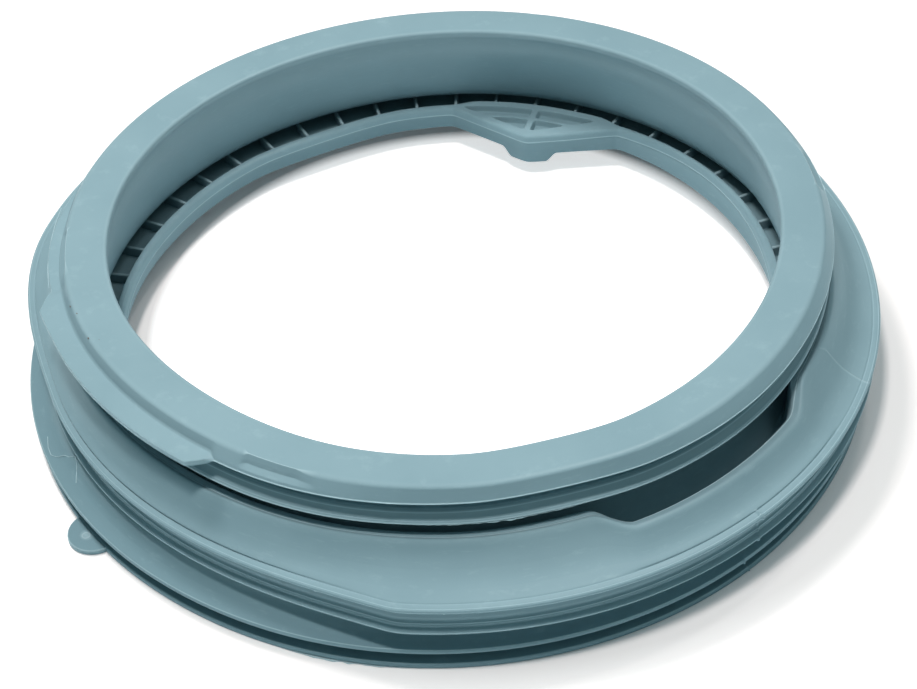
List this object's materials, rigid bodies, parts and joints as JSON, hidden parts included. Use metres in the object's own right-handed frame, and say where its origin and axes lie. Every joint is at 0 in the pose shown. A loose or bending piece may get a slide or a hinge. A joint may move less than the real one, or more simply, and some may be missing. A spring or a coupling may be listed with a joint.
{
  "type": "washing machine door seal",
  "caption": "Moulded rubber bellows ring between a front-loading washing machine's cabinet and its tub, with a panel groove, a clamp groove and an inner water ring",
  "frame": {"origin": "on the ring's axis, in the plane of the flat tub flange face that the seal lies on", "axes": "+Z out of the door mouth, +Y towards the three-cornered pad, +X to the right of it as seen from the front"},
  "size_m": [0.397, 0.4, 0.077],
  "materials": {
    "seal_rubber": "pale blue-grey moulded rubber, satin, with fine parting lines"
  },
  "bodies": {
    "root": {"door_seal": "seal_rubber"}
  },
  "joints": []
}
